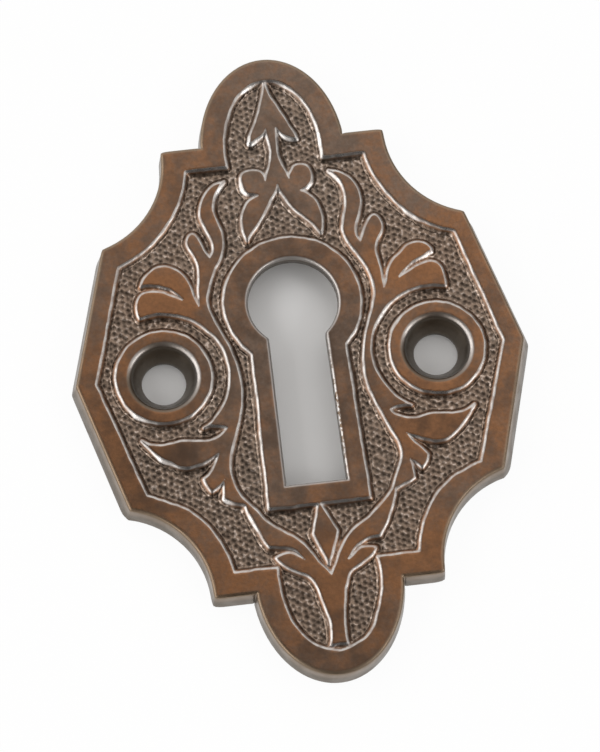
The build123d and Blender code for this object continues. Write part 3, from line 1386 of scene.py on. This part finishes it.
@dataclass(frozen=True)
class AgedBronze:
    """Brown patina on cast bronze under old lacquer, worn grey along the slopes of its relief, with painted
    highlights and painted shade.

    A band gives the values of relief, border, hole or stipple between which a colour comes in.
    """

    warm: Colour = (0.285, 0.133, 0.06)
    dull: Colour = (0.195, 0.14, 0.106)
    dark: Colour = (0.08, 0.048, 0.031)
    # Worn grey metal on the slopes, the keyhole's edge and the screw mouths, which also stands for a painted
    # highlight.
    bare_and_highlight: Colour = (0.53, 0.505, 0.485)
    # Near white at the worn and glint spots: a painted glint.
    worn_glint: Colour = (0.8, 0.78, 0.76)
    # Pits: dirt and painted shade.
    pit: Colour = (0.08, 0.063, 0.05)
    ridge: Colour = (0.245, 0.183, 0.14)
    # Pale spots on the ridges: painted highlights.
    ridge_highlight: Colour = (0.52, 0.43, 0.37)
    rim: Colour = (0.245, 0.187, 0.13)
    side: Colour = (0.2, 0.14, 0.09)
    # Lower part of the walls and the back: painted shade.
    foot: Colour = (0.105, 0.078, 0.05)
    # Inside the keyhole and the screw holes: painted shade.
    hole_shade: Colour = (0.13, 0.105, 0.078)
    ground_band: Band = (0.16, 0.34)
    ridge_band: Band = (0.1, 0.95)
    highlight_band: Band = (0.6, 1.0)
    rim_band: Band = (0.1, -0.08)
    mouth_band: Band = (0.34, 0.16)
    side_band: Band = (-0.12, -0.34)
    foot_shade_band: Band = (-0.6, -1.5)
    hole_band: Band = (0.1, 0.4)
    screw_band: Band = (0.6, 0.9)
    grit: Clouds = Clouds(1.6, 3.0, 0.65, 0.3, 0.7, -0.3, 0.3)
    highlight_spots: Clouds = Clouds(3.6, 1.0, 0.5, 0.48, 0.66)
    facets: Clouds = Clouds(2.6, 2.0, 0.6, 0.42, 0.56)
    slope_share: float = 0.92
    breaks: float = 0.4
    ground_patina: float = 0.12
    rim_share: float = 0.85
    side_share: float = 0.92
    smooth_flat: float = 0.34
    dull_flat: float = 0.46
    smooth_edge: float = 0.26
    ground_rough: float = 0.32
    metal: float = 1.0
    coat: float = 0.2
    coat_rough: float = 0.2
    grain_scale: float = 3.0
    grain_depth: float = 0.008

    def ground_colour(self, sheet: NodeSheet, place: Socket, patina: Socket) -> Socket:
        """Colour of the stippled ground: pits darkened by dirt and painted shade, paler ridges, and painted
        highlights on a few of these.

        Args:
            sheet: Sheet of the material's nodes.
            place: Where, in millimetres.
            patina: Colour of the patina.

        Returns:
            The colour.
        """
        height = sheet.math("ADD", sheet.attribute("stipple"), self.grit.mask(sheet, place))
        # Pits darkened by dirt and painted shade; ridges paler.
        ground = sheet.blend(sheet.span(height, *self.ridge_band), self.pit, self.ridge)
        # Pale spots on the ridges: painted highlights.
        on_ridge = sheet.span(height, *self.highlight_band)
        pale = sheet.math("MULTIPLY", self.highlight_spots.mask(sheet, place), on_ridge)
        ground = sheet.blend(pale, ground, self.ridge_highlight)
        return sheet.blend(self.ground_patina, ground, patina)

    def with_borders(self, sheet: NodeSheet, place: Socket, colour: Socket, wear_and_glint: Socket) -> Socket:
        """Colour with that of the front's softened borders and of the walls laid over it.

        Args:
            sheet: Sheet of the material's nodes.
            place: Where, in millimetres.
            colour: Colour so far.
            wear_and_glint: How worn the casting is, and where glints are painted.

        Returns:
            The colour.
        """
        border, hole = sheet.attribute("border"), sheet.attribute("hole")
        in_hole = sheet.span(hole, *self.hole_band)
        in_screw = sheet.span(hole, *self.screw_band)
        on_mouth = sheet.math("MULTIPLY", in_screw, sheet.span(border, *self.mouth_band))
        on_rim = sheet.math("MAXIMUM", sheet.span(border, *self.rim_band), on_mouth)
        # Screw mouths: painted shade, with painted highlights in pale grey on the arcs that face the lamps.
        mouth = sheet.blend(sheet.attribute("mouth"), self.hole_shade, self.bare_and_highlight)
        # Flecks of painted glint at the worn spots of the holes' edges.
        rough_edge = sheet.blend(self.facets.mask(sheet, place), self.side, self.worn_glint)
        rim = sheet.blend(in_hole, self.rim, sheet.blend(wear_and_glint, self.bare_and_highlight, rough_edge))
        rim = sheet.blend(in_screw, rim, mouth)
        colour = sheet.blend(sheet.math("MULTIPLY", on_rim, self.rim_share), colour, rim)
        # Walls darker olive-brown towards their lower part: painted shade.
        side = sheet.blend(sheet.span(border, *self.foot_shade_band), self.side, self.foot)
        # Walls of the keyhole and the screw holes take the painted shade.
        side = sheet.blend(in_hole, side, self.hole_shade)
        on_side = sheet.span(border, *self.side_band)
        return sheet.blend(sheet.math("MULTIPLY", on_side, self.side_share), colour, side)

    def material(self) -> bpy.types.Material:
        """The finish as a material, which reads the values that the casting holds at its points.

        Returns:
            The material.
        """
        made = bpy.data.materials.new("aged_bronze")
        made.use_nodes = True
        sheet = NodeSheet(made.node_tree)
        shader = made.node_tree.nodes["Principled BSDF"]
        in_mm = sheet.node("ShaderNodeVectorMath", operation="SCALE")
        sheet.feed(in_mm.inputs[0], sheet.node("ShaderNodeTexCoord").outputs["Object"])
        sheet.feed(in_mm.inputs["Scale"], 1.0 / MM)
        place = in_mm.outputs[0]
        relief, wear_and_glint = sheet.attribute("relief"), sheet.attribute("wear_and_glint")
        tones = {"Warm": self.warm, "Dull": self.dull, "Dark": self.dark}
        spots = {"Warmth": sheet.attribute("warmth"), "Shade": sheet.attribute("shade")}
        patina = sheet.group(patina_clouds(), Place=place, **spots, **tones)
        rubbed = sheet.group(worn_slope_highlight(), Place=place, Distance=relief, Wear=wear_and_glint, Breaks=self.breaks)
        edge = sheet.math("MULTIPLY", rubbed.outputs["Mask"], self.slope_share)
        on_ground = sheet.span(relief, *self.ground_band)
        colour = patina.outputs["Colour"]
        colour = sheet.blend(on_ground, colour, self.ground_colour(sheet, place, colour))
        colour = self.with_borders(sheet, place, colour, wear_and_glint)
        # Slopes: worn grey metal that also stands for a painted highlight, near white at the worn and glint
        # spots.
        colour = sheet.blend(edge, colour, sheet.blend(wear_and_glint, self.bare_and_highlight, self.worn_glint))
        rough = sheet.span(patina.outputs["Cloud"], 0.0, 1.0, self.dull_flat, self.smooth_flat)
        rough = sheet.span(on_ground, 0.0, 1.0, rough, self.ground_rough)
        rough = sheet.mix(edge, rough, self.smooth_edge)
        grain = sheet.group(cast_grain(), Place=place, Scale=self.grain_scale)
        bump = sheet.node("ShaderNodeBump")
        sheet.feed(bump.inputs["Strength"], 1.0)
        sheet.feed(bump.inputs["Distance"], self.grain_depth * MM)
        sheet.feed(bump.inputs["Height"], grain.outputs["Height"])
        for name, source in (
            ("Base Color", colour),
            ("Roughness", rough),
            ("Metallic", self.metal),
            ("Coat Weight", self.coat),
            ("Coat Roughness", self.coat_rough),
            ("Normal", bump.outputs[0]),
        ):
            sheet.feed(shader.inputs[name], source)
        return made


@dataclass(frozen=True)
class PaleFloor:
    """Paper that the plate lies on.

    paper is how much light it scatters, and white how far a direct look at it is lifted to plain white.
    """

    paper: float
    white: float = 0.0

    def material(self, name: str) -> bpy.types.Material:
        """The paper as a material.

        Args:
            name: Name of the material.

        Returns:
            The material.
        """
        made = bpy.data.materials.new(name)
        made.use_nodes = True
        tree = made.node_tree
        tree.nodes.clear()
        sheet = NodeSheet(tree)
        path = sheet.node("ShaderNodeLightPath")
        direct = sheet.math("MAXIMUM", path.outputs["Is Camera Ray"], path.outputs["Is Glossy Ray"])
        direct = sheet.math("MAXIMUM", direct, path.outputs["Is Transmission Ray"])
        scatter = sheet.node("ShaderNodeBsdfDiffuse")
        sheet.feed(scatter.inputs["Color"], (self.paper, self.paper, self.paper))
        plain = sheet.node("ShaderNodeEmission")
        sheet.feed(plain.inputs["Strength"], 1.0)
        both = sheet.node("ShaderNodeMixShader")
        sheet.feed(both.inputs[0], sheet.math("MULTIPLY", direct, self.white))
        sheet.feed(both.inputs[1], scatter.outputs[0])
        sheet.feed(both.inputs[2], plain.outputs[0])
        end = sheet.node("ShaderNodeOutputMaterial")
        sheet.feed(end.inputs["Surface"], both.outputs[0])
        return made


@dataclass
class SoftBox:
    """A soft lamp that points at the plate: where it stands, in degrees and metres, its size and radiance."""

    name: str
    azimuth: float
    elevation: float
    distance: float
    width: float
    height: float
    radiance: float

    def build(self, target: Vector) -> bpy.types.Object:
        """The lamp, in metres. Its power is pi times its area times its radiance.

        Args:
            target: What it points at.

        Returns:
            The lamp's object.
        """
        lamp = bpy.data.lights.new(self.name, "AREA")
        lamp.shape = "RECTANGLE"
        lamp.size, lamp.size_y = self.width, self.height
        lamp.energy = math.pi * self.width * self.height * self.radiance
        made = bpy.data.objects.new(self.name, lamp)
        back = direction(self.azimuth, self.elevation)
        made.matrix_world = aimed(target + back * self.distance, back)
        bpy.context.scene.collection.objects.link(made)
        return made


def direction(azimuth: float, elevation: float) -> Vector:
    """Unit vector towards a place at these angles in degrees: azimuth 0 is in front, at -Y, and 90 at +X."""
    a, e = math.radians(azimuth), math.radians(elevation)
    return Vector((math.sin(a) * math.cos(e), -math.cos(a) * math.cos(e), math.sin(e)))


def aimed(place: Vector, back: Vector, roll: float = 0.0) -> Matrix:
    """Place and turn of what looks along -back from a place, turned by roll degrees around that line."""
    turn = back.to_track_quat("Z", "Y").to_matrix().to_4x4()
    return Matrix.Translation(place) @ turn @ Matrix.Rotation(math.radians(roll), 4, "Z")


@dataclass
class Studio:
    """White paper with a grey card under the plate, in a pale tent that two lamps light from the sides. The
    card is greyer than the paper and is not lifted to white: painted shade, on top of the plate's real
    shadow, where the holes show it.

    The tent has a dark gap in front, where the camera stands. A band gives the shares of a direction that go
    right, back or up, between which one part of the tent passes into the next.
    """

    paper: PaleFloor = PaleFloor(0.95, 0.95)
    paper_radius: float = 1500.0
    paper_drop: float = 0.04
    paper_corners: int = 4
    # Grey card seen only through the holes: painted shade on top of the plate's real shadow.
    card: PaleFloor = PaleFloor(0.82)
    card_radius: float = 14.5
    card_drop: float = 0.02
    card_corners: int = 64
    overhead_front: float = 0.16
    overhead_back: float = 1.4
    tent_left: float = 0.95
    tent_right: float = 0.95
    tent_back: float = 1.15
    right_low: float = 0.25
    horizon: float = 0.35
    gap: float = 0.06
    tint: Colour = (1.0, 0.98, 0.96)
    left_to_right: Band = (-0.3, 0.3)
    back_from: Band = (0.2, 0.9)
    right_from: Band = (0.35, 0.8)
    right_low_up_to: Band = (0.42, 0.6)
    horizon_up_to: Band = (0.03, 0.22)
    sides_up_to: Band = (0.72, 0.9)
    overhead_lean: float = 0.8
    overhead_from: Band = (0.12, 0.55)
    gap_from: Band = (-0.85, -0.98)
    gap_up_to: Band = (0.97, 0.9986)
    azimuth: float = -12.412
    elevation: float = 72.224
    roll: float = 5.505
    distance: float = 279.554
    target: tuple[float, float, float] = (-0.217, -1.448, 2.3)
    lens: float = 171.04
    sensor: float = 36.0
    sight: Band = (0.01, 10.0)
    boxes: tuple[SoftBox, ...] = (
        SoftBox("left_box", -88.0, 32.0, 0.6, 0.75, 0.4, 1.5),
        SoftBox("right_box", 60.0, 33.0, 0.6, 0.4, 0.2, 2.6),
    )

    def build(self) -> None:
        """Floor, surround, lamps and camera."""
        self.sheet_of_paper("paper", self.paper_drop, self.paper_radius, self.paper_corners, self.paper)
        self.sheet_of_paper("card", self.card_drop, self.card_radius, self.card_corners, self.card)
        self.surround()
        for box in self.boxes:
            box.build(Vector((0.0, 0.0, 0.0)))
        self.camera()
        bpy.context.scene.view_settings.view_transform = "Standard"

    @staticmethod
    def sheet_of_paper(name: str, drop: float, radius: float, corners: int, finish: PaleFloor) -> None:
        """A flat sheet below the back: corners evenly round a circle, as one face.

        Args:
            name: Name of the sheet.
            drop: How far it lies below the back.
            radius: Radius of the circle.
            corners: Number of corners.
            finish: Its finish.
        """
        turn = (np.arange(corners) + 0.5) * (2.0 * math.pi / corners)
        places = np.column_stack([radius * np.cos(turn), radius * np.sin(turn), np.full(corners, -drop)])
        mesh = bpy.data.meshes.new(name)
        mesh.from_pydata((places * MM).tolist(), [], [list(range(corners))])
        mesh.materials.append(finish.material(name))
        made = bpy.data.objects.new(name, mesh)
        bpy.context.scene.collection.objects.link(made)

    def surround(self) -> None:
        """World as a tent: a top that is brighter at the back, sides dim at the horizon, a dark gap in front.

        The right side is dim further up than the others, so edges that face it show only a thin line.
        """
        world = bpy.data.worlds.new("surround")
        world.use_nodes = True
        bpy.context.scene.world = world
        tree = world.node_tree
        tree.nodes.clear()
        sheet = NodeSheet(tree)
        split = sheet.node("ShaderNodeSeparateXYZ")
        sheet.feed(split.inputs[0], sheet.node("ShaderNodeTexCoord").outputs["Generated"])
        across, forth, up = split.outputs
        past_one = 1.0001  # a little over 1, so that nothing is divided by 0 straight up
        level = sheet.math("SQRT", sheet.math("SUBTRACT", past_one, sheet.math("MULTIPLY", up, up)))
        facing = sheet.math("DIVIDE", forth, level)
        sideways = sheet.math("DIVIDE", across, level)
        sides = sheet.span(sideways, *self.left_to_right, self.tent_left, self.tent_right)
        behind = sheet.span(facing, *self.back_from)
        around = sheet.math("MULTIPLY", sides, sheet.math("SUBTRACT", 1.0, behind))
        around = sheet.math("ADD", around, sheet.math("MULTIPLY", behind, self.tent_back))
        at_right = sheet.span(sideways, *self.right_from)
        shaded = sheet.math("MULTIPLY", at_right, sheet.span(up, *self.right_low_up_to, 1.0, 0.0))
        around = sheet.math("MULTIPLY", around, sheet.span(shaded, 0.0, 1.0, 1.0, self.right_low))
        around = sheet.math("MULTIPLY", around, sheet.span(up, *self.horizon_up_to, self.horizon, 1.0))
        low = sheet.span(up, *self.sides_up_to, 1.0, 0.0)
        lean = sheet.math("ADD", forth, sheet.math("MULTIPLY", across, self.overhead_lean))
        overhead = sheet.span(lean, *self.overhead_from, self.overhead_front, self.overhead_back)
        top = sheet.math("MULTIPLY", sheet.math("SUBTRACT", 1.0, low), overhead)
        light = sheet.math("ADD", sheet.math("MULTIPLY", around, low), top)
        in_front = sheet.span(facing, *self.gap_from)
        in_gap = sheet.math("MULTIPLY", in_front, sheet.span(up, *self.gap_up_to, 1.0, 0.0))
        light = sheet.math("MULTIPLY", light, sheet.span(in_gap, 0.0, 1.0, 1.0, self.gap))
        sky = sheet.node("ShaderNodeBackground")
        sheet.feed(sky.inputs["Color"], self.tint)
        sheet.feed(sky.inputs["Strength"], light)
        end = sheet.node("ShaderNodeOutputWorld")
        sheet.feed(end.inputs["Surface"], sky.outputs[0])

    def camera(self) -> None:
        """Camera at the photograph's angle: behind the target along its direction, turned by the roll."""
        lens = bpy.data.cameras.new("photo_camera")
        lens.lens = self.lens
        lens.sensor_width = self.sensor
        lens.clip_start, lens.clip_end = self.sight
        made = bpy.data.objects.new("photo_camera", lens)
        back = direction(self.azimuth, self.elevation)
        made.matrix_world = aimed((Vector(self.target) + back * self.distance) * MM, back, self.roll)
        bpy.context.scene.collection.objects.link(made)
        bpy.context.scene.camera = made


def main() -> None:
    """Builds the casting and the studio around it."""
    logging.basicConfig(level=logging.INFO, format="%(name)s: %(message)s")
    casting = EscutcheonPlate().build()
    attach(casting, "root")
    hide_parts(CAST_NODE)
    casting.data.materials.append(AgedBronze().material())
    log.info("built %s", casting.name)
    Studio().build()


if __name__ == "__main__":
    main()
